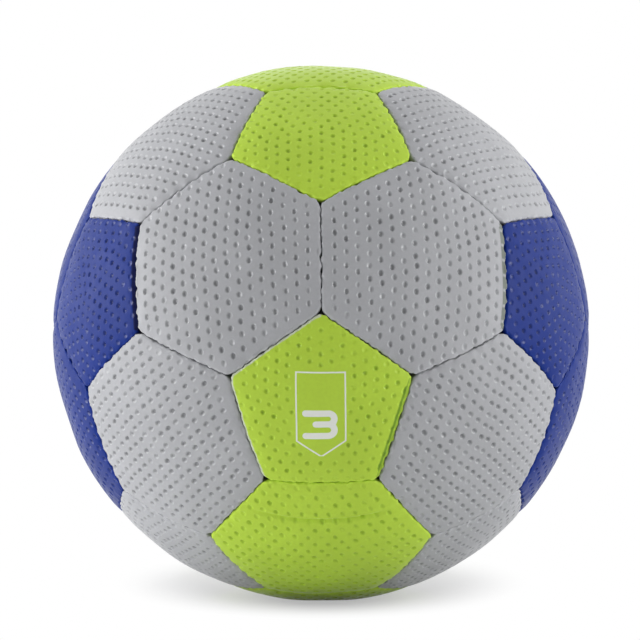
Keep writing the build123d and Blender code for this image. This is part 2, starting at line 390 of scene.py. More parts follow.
def press_pits(sheet, outline, wanted):
    """Sinks a pit at each corner of the sheet that is wanted and well inside the outline."""
    places = []
    for corner in sheet.verts:
        x, y = corner.co.xy
        if outline.place(*spread(x, y))[1] > PIT_MARGIN and wanted(x, y):
            corner.co.xy += noise.noise_vector(corner.co).xy * PIT_DRIFT
            places.append(corner)
    pits = bmesh.ops.bevel(
        sheet, geom=places, offset=PIT_RADIUS, offset_type="OFFSET", segments=1, profile=0.5,
        affect="VERTICES", material=-1,
    )["faces"]
    stretch = Matrix.Diagonal((*PIT_STRETCH[outline.sides], 1.0))
    rims = {edge for pit in pits for edge in pit.edges}
    bmesh.ops.bisect_edges(sheet, edges=list(rims), cuts=1)
    for pit in pits:
        middle = pit.calc_center_median()
        for corner in pit.verts:
            corner.co = middle + stretch @ (corner.co - middle).normalized() * PIT_RADIUS
    for width, drop in PIT_STEPS:
        bmesh.ops.inset_individual(sheet, faces=pits, thickness=width, depth=-drop, use_even_offset=True)


def draw_together(sheet, name):
    """Brings the rows of a panel's pattern closer up and down the ball."""
    across = local_direction(name, Vector((1, 0, 0)))
    upwards = Vector((-across.y, across.x, 0))
    squeeze = Matrix.Scale(DRAWN_PANELS[name], 4, upwards)
    bmesh.ops.transform(sheet, matrix=squeeze, verts=sheet.verts)


def divide_bend(sheet):
    """Divides the sheet round the soft bend finely enough to take its shape."""
    sideways = Vector((-up_bent_panel.y, up_bent_panel.x, 0))
    middle = up_bent_panel * (BEND_HEIGHT + BEND_BAND / 4)
    rows = int(BEND_BAND / BEND_STEP)
    columns = int(BEND_HALF_LENGTH / BEND_STEP / 2)
    cuts = [(middle + up_bent_panel * step * BEND_STEP, up_bent_panel) for step in range(-rows, rows + 1)]
    cuts += [(sideways * step * 2 * BEND_STEP, sideways) for step in range(-columns, columns + 1)]
    for place, across in cuts:
        band = [
            face for face in sheet.faces
            if abs((face.calc_center_median() - middle).dot(up_bent_panel)) < BEND_BAND
        ]
        lines = {edge for face in band for edge in face.edges}
        points = {point for face in band for point in face.verts}
        cut(sheet, place, across, [*points, *lines, *band])


def cut_outline(sheet, outline, distance):
    """Trims the sheet at a distance from the seam."""
    reach = outline.corner - distance * outline.stretch
    corner_radius = outline.core / math.cos(math.pi / outline.sides)
    for step in range(outline.sides * CORNER_STEPS):
        angle = step * outline.turn / CORNER_STEPS
        corner = (step // CORNER_STEPS + 0.5) * outline.turn
        normal = Vector((math.cos(angle), math.sin(angle), 0))
        middle = Vector((math.cos(corner), math.sin(corner), 0)) * corner_radius
        cut(sheet, middle + normal * reach, normal, clear_outer=True)


def divide_rim(sheet):
    """Splits the long stretches of the open rim, so that it can follow the stitches."""
    by_cuts = {}
    for edge in sheet.edges:
        if edge.is_boundary:
            by_cuts.setdefault(int(edge.calc_length() / EDGE_STEP), []).append(edge)
    for cuts, edges in by_cuts.items():
        if cuts:
            bmesh.ops.bisect_edges(sheet, edges=edges, cuts=cuts)


def pull_rim(sheet, rim, move):
    """Extrudes a rim and moves its new points; gives back the new rim."""
    made = bmesh.ops.extrude_edge_only(sheet, edges=rim)["geom"]
    points = {item for item in made if isinstance(item, bmesh.types.BMVert)}
    for point in points:
        point.co = move(point.co)
    return [e for e in made if isinstance(e, bmesh.types.BMEdge) and points.issuperset(e.verts)]


def leaf(stitch):
    """How far the seam is open here, from 0 at a stitch to 1 between two."""
    if abs(stitch) > STITCHES_PER_SEAM / 2:
        return 1.0
    return math.sin(math.pi * stitch) ** 2


def rounded(radius, whole_turn, steps):
    """Profile of a rounded edge, as distances in from its side and heights."""
    turns = [whole_turn * step / steps for step in range(1, steps + 1)]
    return [(radius * (1 - math.sin(turn)), -radius * (1 - math.cos(turn))) for turn in turns]


def follow_profile(sheet, outline, profile):
    """Pulls the open rim of a sheet along a profile of distances from the seam and heights."""
    rim = [edge for edge in sheet.edges if edge.is_boundary]
    for distance, height in profile:

        def move(point):
            return Vector((*outline.at_distance(point.x, point.y, distance), height))

        rim = pull_rim(sheet, rim, move)
    return rim


def close_inside(sheet, rim, hole, thickness):
    """Lines the inside of a layer, and cuts a round hole with a rounded rim through its middle."""
    previous = 1.0
    for share in LINING_RINGS:
        rim = pull_rim(sheet, rim, lambda p: Vector((*(p.xy * share / previous), -thickness)))
        previous = share
    if hole is None:
        bmesh.ops.holes_fill(sheet, edges=rim)
        return
    round_rim = min(VALVE_RIM, thickness / 2)
    middle = [v for v in sheet.verts if v.co.xy.length < hole + 2 * round_rim and v.co.z > -thickness / 2]
    bmesh.ops.delete(sheet, geom=middle, context="VERTS")
    jagged = [e for e in sheet.edges if e.is_boundary and e.verts[0].co.z > -thickness / 2]
    circle = bmesh.ops.create_circle(sheet, segments=VALVE_STEPS, radius=hole + round_rim)["verts"]
    ring = list({edge for point in circle for edge in point.link_edges})
    bmesh.ops.triangle_fill(sheet, use_beauty=True, edges=jagged + ring)
    for distance, height in rounded(round_rim, math.pi / 2, SHOULDER_STEPS) + [(0, -thickness)]:
        ring = pull_rim(sheet, ring, lambda p: Vector((*(p.xy.normalized() * (hole + distance)), height)))
    bmesh.ops.triangle_fill(sheet, use_beauty=True, edges=ring + rim)


def outline_print(sheet):
    """Divides the sheet along both edges of the print's frame, so that its line keeps sharp corners."""
    point = Vector((FRAME_POINT, 0, 0))
    slant = Vector((FRAME_HALF_WIDTH, FRAME_POINT - FRAME_SIDE, 0)).normalized()
    sides = [(Vector((-FRAME_TOP, 0, 0)), Vector((-1, 0, 0)))]
    for hand in (-1, 1):
        sides.append((Vector((0, hand * FRAME_HALF_WIDTH, 0)), Vector((0, hand, 0))))
        sides.append((point, Vector((slant.x, hand * slant.y, 0))))
    for place, outward in sides:
        for offset in (-FRAME_LINE, FRAME_LINE):
            cut(sheet, place + outward * offset, outward)
    for hand in (-1, 1):
        cut(sheet, Vector((-FRAME_TOP, hand * FRAME_HALF_WIDTH, 0)), Vector((hand, 1, 0)))


def cover_sheet(outline, wanted, hole=None, refine=None, name=None):
    """A whole cover panel, still flat: pitted crown, rounded edges, flanges and inside.

    A panel with a name of its own may have its pattern drawn together, or a bend across it.
    """
    sheet = hexagon_lattice() if outline is HEXAGON else pentagon_lattice()
    if name in DRAWN_PANELS:
        draw_together(sheet, name)
    if refine:
        inner = [edge for edge in sheet.edges if all(refine(*end.co.xy) for end in edge.verts)]
        bmesh.ops.subdivide_edges(sheet, edges=inner, cuts=PRINT_CUTS, use_grid_fill=True)
    press_pits(sheet, outline, wanted)
    for corner in sheet.verts:
        corner.co.xy = spread(*corner.co.xy)
    if refine:
        outline_print(sheet)
    if name == BENT_PANEL:
        divide_bend(sheet)
    cut_outline(sheet, outline, CROWN_EDGE)
    divide_rim(sheet)
    profile = [(BORDER_STEP, 0), (SHOULDER, 0), *rounded(SHOULDER, SHOULDER_TURN, SHOULDER_STEPS)]
    flange = [(0, -SEAM_DEPTH), (FLANGE, -SEAM_DEPTH), (FLANGE, -COVER_THICKNESS)]
    rim = follow_profile(sheet, outline, profile + [(0, -SHOULDER - SIDE_STEP)] + flange)
    close_inside(sheet, rim, hole, COVER_THICKNESS)
    bmesh.ops.recalc_face_normals(sheet, faces=sheet.faces)
    return sheet


def layer_sheet(outline, thickness, hole=None):
    """A plain layer under a cover, still flat: its rounded edge stops short of the seam threads."""
    sheet = lattice(outline, PAD_ROWS, SHEET_REACH)
    for corner in sheet.verts:
        corner.co.xy = spread(*corner.co.xy)
    cut_outline(sheet, outline, PAD_EDGE + PAD_ROUND)
    round_edge = rounded(PAD_ROUND, math.pi / 2, PAD_ROUND_STEPS)
    edge = [(PAD_EDGE + distance, height) for distance, height in round_edge]
    rim = follow_profile(sheet, outline, edge + [(PAD_EDGE, -thickness)])
    close_inside(sheet, rim, hole, thickness)
    bmesh.ops.recalc_face_normals(sheet, faces=sheet.faces)
    return sheet


def pit_share(distance):
    """How much of their full depth the pits have at a distance from the seam."""
    inside = max(0.0, min(1.0, (distance - PIT_MARGIN) / PIT_FADE))
    return PIT_LEAST + (1 - PIT_LEAST) * inside


def outer_share(height):
    """How much of the sewing's pull reaches a height: all of it on the crown, none deep in the seam."""
    return max(0.0, 1 + min(0.0, height) / SEWN_DEPTH)


def sewn(outline, turn, banks, x, y, height, seed):
    """A point of the flat panel as the sewing draws it: its place, its height, and its seam distance."""
    side, distance, stitch, _, arm = outline.place(x, y)
    spot = turn @ Vector((x, y, BALL_RADIUS)).normalized() * BALL_RADIUS
    pull = max(0.0, PULL + PULL_SPREAD * noise.noise(spot / SEWING_SCALE))
    outer = outer_share(height)
    along_seam = max(0.0, min(1.0, STITCHES_PER_SEAM / 2 - abs(stitch)))
    drawn = pull * along_seam * math.cos(math.pi * stitch) ** 2
    turned = pull * along_seam * math.sin(2 * math.pi * stitch)
    edge = max(0.0, distance)
    slope = max(0.0, 1 - edge / BANK_WIDTH)
    height -= outer * banks[side] * slope * slope * (3 - 2 * slope)
    height -= outer * SINK * math.exp(-edge / SINK_REACH)
    height -= outer * PUCKER * drawn * math.exp(-edge / PUCKER_REACH)
    near_seam = outer * turned * math.exp(-edge / TWIST_REACH)
    height += TWIST * near_seam
    wide = max(LEAF_LEAST, LEAF_MIDDLE + LEAF_SPREAD * noise.noise(spot / OPENING_SCALE))
    notch = NOTCH * drawn * math.cos(math.pi * stitch) ** 4
    opening = (notch + LEAF_GAP * wide * leaf(stitch)) * max(0.0, 1 - edge / SHOULDER)
    shift = (SWAY * near_seam - opening) * outline.stretch
    x += arm[0] * shift
    y += arm[1] * shift
    wave = noise.noise((x / UNEVEN_SCALE, y / UNEVEN_SCALE, seed))
    height += outer * UNEVEN * wave * min(1.0, edge / UNEVEN_MARGIN)
    return x, y, height, distance


def bend_depth(x, y):
    """How far a point of the bent panel lies down in its bend, or stands up on the lip above it."""
    aside = y * up_bent_panel.x - x * up_bent_panel.y
    above = x * up_bent_panel.x + y * up_bent_panel.y - BEND_HEIGHT - BEND_RISE * aside * aside
    groove = BEND_DEPTH * math.exp(-((above / BEND_WIDTH) ** 2))
    lip = BEND_LIP * math.exp(-(((above - BEND_LIP_HEIGHT) / BEND_LIP_WIDTH) ** 2))
    return (groove - lip) * max(0.0, 1 - (aside / BEND_HALF_LENGTH) ** 4)


def on_ball(turn, x, y, height, jitter=0.0):
    """Place of a point of a flat panel on the ball, in metres, with the wander of its seams."""
    radius = BALL_RADIUS + min(0.0, height - CROWN_DROP)
    place = turn @ Vector((x, y, BALL_RADIUS)).normalized() * radius
    place += noise.noise_vector(place / WARP_SCALE) * WARP
    place += noise.noise_vector(place / JITTER_SCALE) * jitter
    place *= min(1.0, BALL_RADIUS / place.length)
    return place * MM


def mesh_object(name, mesh_data):
    piece = bpy.data.objects.new(name, mesh_data)
    bpy.context.scene.collection.objects.link(piece)
    return piece


def finished(piece, node, material):
    """Makes a piece ride on the ball and stand for a CAD node."""
    piece.data.materials.append(material)
    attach(piece, "root")
    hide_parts(node)
    return piece


def side_neighbours(name, outline, turn):
    """Name of the panel across each side of a panel."""
    others = [other for other in all_panels if other != name]
    neighbours = []
    for side in range(outline.sides):
        outward = turn @ Vector((math.cos(side * outline.turn), math.sin(side * outline.turn), 0))
        facing = all_panels[name] + outward * math.tan(2 * outline.slope)
        neighbours.append(max(others, key=lambda other: all_panels[other].dot(facing)))
    return neighbours


def edge_bank(name, neighbour):
    """How far a panel's edge slopes down to the seam with a neighbour; a seam's two edges differ."""
    if (name, neighbour) in FOLDED_EDGES:
        return FOLDED_EDGES[name, neighbour][1]
    spot = OWN_WEIGHT * all_panels[name] + NEIGHBOUR_WEIGHT * all_panels[neighbour]
    return BANK * (0.5 + noise.noise(spot) / 2)


def panel_piece(name, sheet, outline, seed, material):
    """Wraps a flat panel onto the ball and makes it stand for its CAD node."""
    panel = sheet.copy()
    turn = panel_turn(name)
    edges = [(name, neighbour) for neighbour in side_neighbours(name, outline, turn)]
    banks = [edge_bank(*edge) for edge in edges]
    colour = name.split("_")[0]
    seam, depth, pit, folded, raw, phase = (
        panel.verts.layers.float.new(layer)
        for layer in ("seam_distance", "depth", "pit", "folded", "raw", "stitch")
    )
    for point in panel.verts:
        side, distance, point[phase], *_ = outline.place(point.co.x, point.co.y)
        # how far in from the seam a folded edge's painted shade reaches
        point[folded] = FOLDED_EDGES.get(edges[side], UNFOLDED)[0]
        point[raw] = RAW_EDGES.get(edges[side], 0.0)
        if distance > CROWN_EDGE - CROWN_TOLERANCE and point.co.z > -COVER_THICKNESS / 2:
            spot = (point.co.x / PIT_SPREAD_SCALE, point.co.y / PIT_SPREAD_SCALE, seed)
            pressed = 1 + PIT_SPREAD * noise.noise(spot)
            point.co.z *= pit_share(distance) * PIT_DEPTHS[colour] * pressed
            point[pit] = -point.co.z
        x, y, height, distance = sewn(outline, turn, banks, *point.co, seed)
        if name == BENT_PANEL and height > -COVER_THICKNESS / 2:
            height -= bend_depth(x, y)
        point[seam] = distance
        point[depth] = -height
        fray = FRAY * math.exp(-max(0.0, distance) / FRAY_REACH) * outer_share(height)
        point.co = on_ball(turn, x, y, height, JITTER + fray)
    mesh_data = bpy.data.meshes.new(name)
    panel.to_mesh(mesh_data)
    panel.free()
    mesh_data.shade_smooth()
    finished(mesh_object(name + "_cover", mesh_data), name, material)


def layer_piece(node, outline, panels, depth, thickness, hole, material):
    """One layer under all the covers of a kind."""
    plain = layer_sheet(outline, thickness)
    pierced = layer_sheet(outline, thickness, hole)
    whole = bmesh.new()
    single = bpy.data.meshes.new(node)
    for name in panels:
        panel = (pierced if name == VALVE_PANEL else plain).copy()
        turn = panel_turn(name)
        map_x = panel.verts.layers.float.new("panel_x")
        map_y = panel.verts.layers.float.new("panel_y")
        for point in panel.verts:
            point[map_x] = point.co.x
            point[map_y] = point.co.y
            point.co = on_ball(turn, point.co.x, point.co.y, point.co.z - depth)
        panel.to_mesh(single)
        panel.free()
        whole.from_mesh(single)
    whole.to_mesh(single)
    whole.free()
    single.shade_smooth()
    return finished(mesh_object(node + "_layer", single), node, material)


def seam_threads(material):
    """One running stitch for each seam, through the flanges of both panels."""
    curve = bpy.data.curves.new("seam_threads", "CURVE")
    curve.dimensions = "3D"
    curve.bevel_depth = THREAD_DIAMETER / 2 * MM
    curve.bevel_resolution = 1
    curve.resolution_u = 2
    curve.use_fill_caps = True
    stitches = range(-(STITCHES_PER_SEAM // 2), STITCHES_PER_SEAM // 2 + 1)
    for one, two in seams:
        middle = (one + two).normalized()
        across = one.cross(two).normalized()
        along = across.cross(middle)
        points = []
        for stitch in stitches:
            angle = stitch * STITCH_PITCH / BALL_RADIUS
            hole = (middle * math.cos(angle) + along * math.sin(angle)) * STITCH_RADIUS
            near_side = across * RAIL_OFFSET * (-1) ** stitch
            points += [hole + near_side, hole - near_side]
        points = [points[0] - along * THREAD_TAIL, *points, points[-1] + along * THREAD_TAIL]
        spline = curve.splines.new("NURBS")
        spline.points.add(len(points) - 1)
        for control, point in zip(spline.points, points):
            control.co = (*(point * MM), 1)
        spline.order_u = 3
        spline.use_endpoint_u = True
    finished(mesh_object("seam_threads", curve), "seam_stitching", material)


# Finishes: noise and grain scales are per metre, and bump depths in metres
WHITE = (1.0, 1.0, 1.0)
INK = (0.80, 0.82, 0.78)
INK_BLUR = 0.06
BARE = (0.56, 0.57, 0.55)  # the undyed edge of a panel
BARE_SHARE = 0.8
BARE_BLUR = 0.3
MOST_NOISE = (0.3, 0.7)  # where most of a noise's values lie, and a narrower range with sharper patches
MIDDLE_NOISE = (0.35, 0.65)
CLOUD_SCALE = 45
CLOUD_TINTS = (0.95, 1.05)
SPECKLE_SCALE = 900
SPECKLE_SHARE = 0.5
SPECKLE_TINT = 0.92
EDGE_LIGHTER_RANGE = (0.2, 1.2)  # distances from the seam over which the lighter edge fades
EDGE_LIGHTER_SHARE = 0.5
EDGE_LIGHTER_TINT = 1.2
PIT_PAINTED_SHADE_RANGE = (0.2, 0.55)  # depths over which the painted shade in a pit deepens
POLISH_RANGE = (0.01, 0.08)  # and over which its pressed wall becomes smooth
POLISH = 0.24  # how much less rough that wall is
SEAM_PAINTED_SHADE_RANGE = (1.3, 3.2)  # depths over which the painted shade down a seam deepens
COVER_ROUGHNESS = (0.44, 0.56)
ROUGHNESS_SCALE = 240
COVER_GLOSS = 0.14
SHEEN = 0.33
PIT_SHEEN = 0.02
SHEEN_ROUGHNESS = 0.25
CREASE_SCALE = 420
CREASE_DEPTH = 0.00012
CREASE_STRENGTH = 0.5
GRAIN_SCALE = 1700
GRAIN_DEPTH = 0.00004
GRAIN_STRENGTH = 0.3
STRIP_BLUR = (-0.15, 0.1)  # across the edge of a folded strip's painted shade
MARK_RANGE = (0.04, 0.14)  # share of the stitch pitch over which a stitch's mark fades
MARK_TINT = 1.2
FOLD_RANGE = (0.25, 0.55)  # distances over which the painted shade of the crease along a fold fades

COVERS = {
    "grey": {
        "colour": (0.42, 0.425, 0.445),
        "side": (0.10, 0.105, 0.10),  # painted shade down in the seams
        # painted shade in the pits, and the most of it, at full depth
        "pit": (0.165, 0.17, 0.175),
        "pit_painted_shade": 0.5,
        "pit_gloss": 0.4,
        "strip_painted_shade": (0.185, 0.205, 0.18),  # painted shade on a folded edge, deeper painted shade on its crease, and its marks at the stitches
        "crease_painted_shade": (0.12, 0.13, 0.12),
        "crease_painted_shade_share": 0.2,
        "mark_shade": 0.6,
    },
    "lime": {
        "colour": (0.475, 0.675, 0.063),
        "side": (0.05, 0.09, 0.01),
        "pit": (0.15, 0.29, 0.008),
        "pit_painted_shade": 0.34,
        "pit_gloss": 0.14,
        "strip_painted_shade": (0.30, 0.46, 0.04),
        "crease_painted_shade": (0.09, 0.22, 0.015),
        "crease_painted_shade_share": 0.7,
        "mark_shade": 0.3,
    },
    "blue": {
        "colour": (0.003, 0.023, 0.20),
        "side": (0.006, 0.008, 0.04),
        "pit": (0.001, 0.006, 0.07),
        "pit_painted_shade": 0.48,
        "pit_gloss": 0.3,
        "strip_painted_shade": (0.004, 0.007, 0.06),
        "crease_painted_shade": (0.003, 0.005, 0.04),
        "crease_painted_shade_share": 0.0,
        "mark_shade": 0.0,
    },
}


class NodeTree:
    """The nodes of a material or of the world, with a short call for each kind that is used here."""

    # Places of the colour sockets on a mix node, among those for other kinds of value
    COLOUR_A = 6
    COLOUR_B = 7
    COLOUR_RESULT = 2

    def __init__(self, owner):
        owner.use_nodes = True
        self.nodes = owner.node_tree.nodes
        self.links = owner.node_tree.links

    def give(self, node, inputs):
        """Gives a node's inputs numbers, colours or the outputs of other nodes."""
        for key, value in inputs.items():
            socket = node.inputs[key]
            if isinstance(value, bpy.types.NodeSocket):
                self.links.new(value, socket)
            elif socket.type == "RGBA":
                socket.default_value = (*value, 1)
            else:
                socket.default_value = value

    def add(self, kind, inputs, output=0, **settings):
        """Adds a node with its settings and inputs, and gives back one of its outputs."""
        node = self.nodes.new("ShaderNode" + kind)
        for setting, value in settings.items():
            setattr(node, setting, value)
        self.give(node, inputs)
        return node.outputs[output]

    def object_place(self):
        return self.add("TexCoord", {}, "Object")

    def attribute(self, name):
        return self.add("Attribute", {}, "Fac", attribute_name=name)

    def noise(self, place, scale, detail):
        return self.add("TexNoise", {"Vector": place, "Scale": scale, "Detail": detail}, "Fac")

    def cells(self, place, scale):
        return self.add("TexVoronoi", {"Vector": place, "Scale": scale}, "Distance")

    def axis_value(self, vector, axis):
        return self.add("SeparateXYZ", {"Vector": vector}, axis)

    def math(self, operation, first, second=0.0):
        return self.add("Math", {0: first, 1: second}, operation=operation)

    def times(self, first, second):
        return self.math("MULTIPLY", first, second)

    def ranged(self, value, given, wanted, smooth=False):
        """Maps a value from a given range to the wanted one, and no further."""
        inputs = {
            "Value": value,
            "From Min": given[0],
            "From Max": given[1],
            "To Min": wanted[0],
            "To Max": wanted[1],
        }
        return self.add("MapRange", inputs, interpolation_type="SMOOTHSTEP" if smooth else "LINEAR")

    def mixed(self, factor, first, second):
        """Mix of two colours."""
        inputs = {"Factor": factor, self.COLOUR_A: first, self.COLOUR_B: second}
        return self.add("Mix", inputs, self.COLOUR_RESULT, data_type="RGBA")

    def bump(self, height, depth, strength, under=None):
        """Normal of a surface with these heights, over another such normal if there is one."""
        inputs = {"Height": height, "Distance": depth, "Strength": strength}
        if under is not None:
            inputs["Normal"] = under
        return self.add("Bump", inputs, "Normal")


def new_material(name):
    material = bpy.data.materials.new(name)
    tree = NodeTree(material)
    return material, tree, tree.nodes["Principled BSDF"]


def tint(colour, factor):
    return tuple(min(1.0, channel * factor) for channel in colour)


def ink(tree):
    """1 on the printed number and on the line of its frame."""
    number = tree.ranged(tree.attribute("numeral"), (-INK_BLUR, INK_BLUR), (1, 0))
    from_line = tree.math("ABSOLUTE", tree.attribute("print_frame"))
    line = tree.ranged(from_line, (FRAME_LINE / 2 - INK_BLUR, FRAME_LINE / 2 + INK_BLUR), (1, 0))
    return tree.math("MAXIMUM", number, line)


def folded_strip(tree, surface, cover):
    """Darkens the side band of a folded edge with painted shade, deeper along its fold line, with a pale
    mark at each stitch.
    """
    into_strip = tree.math("SUBTRACT", tree.attribute("folded"), tree.attribute("seam_distance"))
    strip_painted_shade = tree.ranged(into_strip, STRIP_BLUR, (0, 1))
    surface = tree.mixed(strip_painted_shade, surface, cover["strip_painted_shade"])
    from_stitch = tree.math("PINGPONG", tree.attribute("stitch"), 0.5)
    mark = tree.times(strip_painted_shade, tree.ranged(from_stitch, MARK_RANGE, (cover["mark_shade"], 0)))
    surface = tree.mixed(mark, surface, tint(cover["colour"], MARK_TINT))
    from_crease = tree.math("ABSOLUTE", into_strip)
    crease_painted_shade = tree.ranged(from_crease, FOLD_RANGE, (cover["crease_painted_shade_share"], 0))
    return tree.mixed(crease_painted_shade, surface, cover["crease_painted_shade"])


def cover_colour(tree, place, cover, printed):
    """A cover's dye, clouded, speckled, lighter at its edges; painted shade in its pits and down its
    seams.
    """
    colour = cover["colour"]
    from_seam = tree.attribute("seam_distance")
    cloud = tree.ranged(tree.noise(place, CLOUD_SCALE, 3), MOST_NOISE, (0, 1))
    surface = tree.mixed(cloud, *(tint(colour, factor) for factor in CLOUD_TINTS))
    speckle = tree.ranged(tree.noise(place, SPECKLE_SCALE, 2), MIDDLE_NOISE, (0, SPECKLE_SHARE))
    surface = tree.mixed(speckle, surface, tint(colour, SPECKLE_TINT))
    # Lighter towards the seams
    lighter_edge = tree.ranged(from_seam, EDGE_LIGHTER_RANGE, (EDGE_LIGHTER_SHARE, 0), smooth=True)
    surface = tree.mixed(lighter_edge, surface, tint(colour, EDGE_LIGHTER_TINT))
    # Painted shade in the pits
    shade = tree.ranged(tree.attribute("pit"), PIT_PAINTED_SHADE_RANGE, (0, cover["pit_painted_shade"]), smooth=True)
    surface = tree.mixed(shade, surface, cover["pit"])
    if printed:
        surface = tree.mixed(ink(tree), surface, INK)
    surface = folded_strip(tree, surface, cover)
    past_dye = tree.math("SUBTRACT", tree.attribute("raw"), from_seam)
    surface = tree.mixed(tree.ranged(past_dye, (0, BARE_BLUR), (0, BARE_SHARE)), surface, BARE)
    # Painted shade down the seams
    seam_painted_shade = tree.ranged(tree.attribute("depth"), SEAM_PAINTED_SHADE_RANGE, (0, 1), smooth=True)
    return tree.mixed(seam_painted_shade, surface, cover["side"])


def cover_finish(name, cover, printed=False):
    """Soft synthetic leather: fine grain with a faint sheen, and pits with smooth, pressed walls."""
    material, tree, shader = new_material(name)
    place = tree.object_place()
    polished = tree.ranged(tree.attribute("pit"), POLISH_RANGE, (0, 1))
    rough = tree.ranged(tree.noise(place, ROUGHNESS_SCALE, 2), MOST_NOISE, COVER_ROUGHNESS)
    creases = tree.bump(tree.noise(place, CREASE_SCALE, 4), CREASE_DEPTH, CREASE_STRENGTH)
    tree.give(shader, {
        "Base Color": cover_colour(tree, place, cover, printed),
        "Roughness": tree.math("SUBTRACT", rough, tree.times(polished, POLISH)),
        "Specular IOR Level": tree.ranged(polished, (0, 1), (COVER_GLOSS, cover["pit_gloss"])),
        "Sheen Weight": tree.ranged(polished, (0, 1), (SHEEN, PIT_SHEEN)),
        "Sheen Roughness": SHEEN_ROUGHNESS,
        "Normal": tree.bump(tree.cells(place, GRAIN_SCALE), GRAIN_DEPTH, GRAIN_STRENGTH, creases),
    })
    return material


def speckled_finish(name, dark, light, scale, roughness, grain, depth):
    """Foam, rubber or thread: two shades in a fine grain, with a bump and an uneven gloss."""
    material, tree, shader = new_material(name)
    place = tree.object_place()
    speckle = tree.ranged(tree.noise(place, scale, 4), MIDDLE_NOISE, (0, 1))
    uneven = tree.noise(place, scale / 4, 2)
    tree.give(shader, {
        "Base Color": tree.mixed(speckle, dark, light),
        "Roughness": tree.ranged(uneven, MOST_NOISE, (roughness - 0.1, roughness)),
        "Normal": tree.bump(tree.cells(place, grain), depth, 0.5),
    })
    return material


def woven_finish(name, warp, weft, pitch):
    """Plain weave, with its threads along the panel's own two directions."""
    material, tree, shader = new_material(name)
    turns = [tree.times(tree.attribute(layer), 2 * math.pi / pitch) for layer in ("panel_x", "panel_y")]
    crossing = tree.times(*(tree.math("SINE", turn) for turn in turns))
    over = tree.ranged(crossing, (-0.5, 0.5), (0, 1))
    tree.give(shader, {
        "Base Color": tree.mixed(over, warp, weft),
        "Roughness": 0.9,
        "Normal": tree.bump(crossing, depth=0.0002, strength=0.6),
    })
    return material


finishes = {colour: cover_finish(colour + "_cover", cover) for colour, cover in COVERS.items()}
printed_finish = cover_finish("lime_cover_printed", COVERS["lime"], printed=True)
foam_finish = speckled_finish(
    "foam", dark=(0.66, 0.62, 0.50), light=(0.80, 0.77, 0.66),
    scale=500, roughness=0.95, grain=1500, depth=0.0002,
)
lining_finish = woven_finish("lining", warp=(0.70, 0.68, 0.62), weft=(0.82, 0.81, 0.77), pitch=1.0)
thread_finish = speckled_finish(
    "thread", dark=(0.03, 0.03, 0.032), light=(0.08, 0.08, 0.085),
    scale=2500, roughness=0.6, grain=4000, depth=0.0001,
)
bladder_finish = speckled_finish(
    "bladder_rubber", dark=(0.03, 0.03, 0.033), light=(0.07, 0.07, 0.072),
    scale=160, roughness=0.6, grain=900, depth=0.0001,
)
valve_finish = speckled_finish(
    "valve_rubber", dark=(0.018, 0.018, 0.019), light=(0.04, 0.04, 0.042),
    scale=300, roughness=0.5, grain=2000, depth=0.00005,
)


def bowl_distance(right, up, radius):
    """Distance from the middle of a bowl's stroke: along its top, round its right end, and back."""
    round_end = NUMERAL_HALF_WIDTH - radius
    if right > round_end:
        return abs(math.hypot(right - round_end, up - radius) - radius)
    top = math.hypot(max(0.0, -NUMERAL_HALF_WIDTH - right), up - 2 * radius)
    waist = math.hypot(max(0.0, WAIST_START - right), up)
    return min(top, waist)


def numeral_distance(right, up):
    """Signed distance from the edge of the printed number, negative on its strokes."""
    right -= NUMERAL_MIDDLE
    rise = up - NUMERAL_WAIST
    middle_of_stroke = min(bowl_distance(right, rise, UPPER_BOWL), bowl_distance(right, -rise, LOWER_BOWL))
    return middle_of_stroke - NUMERAL_STROKE / 2


def frame_distance(right, up):
    """Signed distance from the print's frame, whose lower end is a blunt point; negative inside."""
    fall = FRAME_POINT - FRAME_SIDE
    beyond = (abs(right) - FRAME_HALF_WIDTH) * fall - (up + FRAME_SIDE) * FRAME_HALF_WIDTH
    return max(abs(right) - FRAME_HALF_WIDTH, up - FRAME_TOP, beyond / math.hypot(fall, FRAME_HALF_WIDTH))


def everywhere(x, y):
    return True


def off_valve(x, y):
    return math.hypot(x, y) > VALVE_SMOOTH


def in_print(x, y):
    return frame_distance(y, -x) < PRINT_MARGIN


def off_print(x, y):
    return not in_print(x, y)


def print_number(panel):
    """Marks on a panel's points how far they are from the print's edges."""
    numeral = panel.verts.layers.float.new("numeral")
    frame_line = panel.verts.layers.float.new("print_frame")
    for point in panel.verts:
        point[numeral] = numeral_distance(point.co.y, -point.co.x)
        point[frame_line] = frame_distance(point.co.y, -point.co.x)


hexagon_sheet = cover_sheet(HEXAGON, everywhere)
pentagon_sheet = cover_sheet(PENTAGON, everywhere)
special_sheets = {
    VALVE_PANEL: cover_sheet(PENTAGON, off_valve, hole=VALVE_HOLE),
    PRINT_PANEL: cover_sheet(PENTAGON, off_print, refine=in_print),
    **{name: cover_sheet(HEXAGON, everywhere, name=name) for name in DRAWN_PANELS},
}
print_number(special_sheets[PRINT_PANEL])

for order, name in enumerate(all_panels):
    outline, sheet = (HEXAGON, hexagon_sheet) if name in hexagons else (PENTAGON, pentagon_sheet)
    finish = printed_finish if name == PRINT_PANEL else finishes[name.split("_")[0]]
    panel_piece(name, special_sheets.get(name, sheet), outline, PANEL_SEED * order, finish)

for kind, outline, panels in (("hexagon", HEXAGON, hexagons), ("pentagon", PENTAGON, pentagons)):
    pads = layer_piece(
        kind + "_foam_pads", outline, panels, FOAM_DEPTH, FOAM_THICKNESS, VALVE_HOLE, foam_finish
    )
    layer_piece(
        kind + "_linings", outline, panels, LINING_DEPTH, LINING_THICKNESS, PATCH_HOLE,
        lining_finish,
    )
seam_threads(thread_finish)
for node, finish in (
    ("bladder", bladder_finish),
    ("valve_patch", bladder_finish),
    ("valve_housing", valve_finish),
    ("valve_core", valve_finish),
):
    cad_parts[node].data.materials.clear()
    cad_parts[node].data.materials.append(finish)


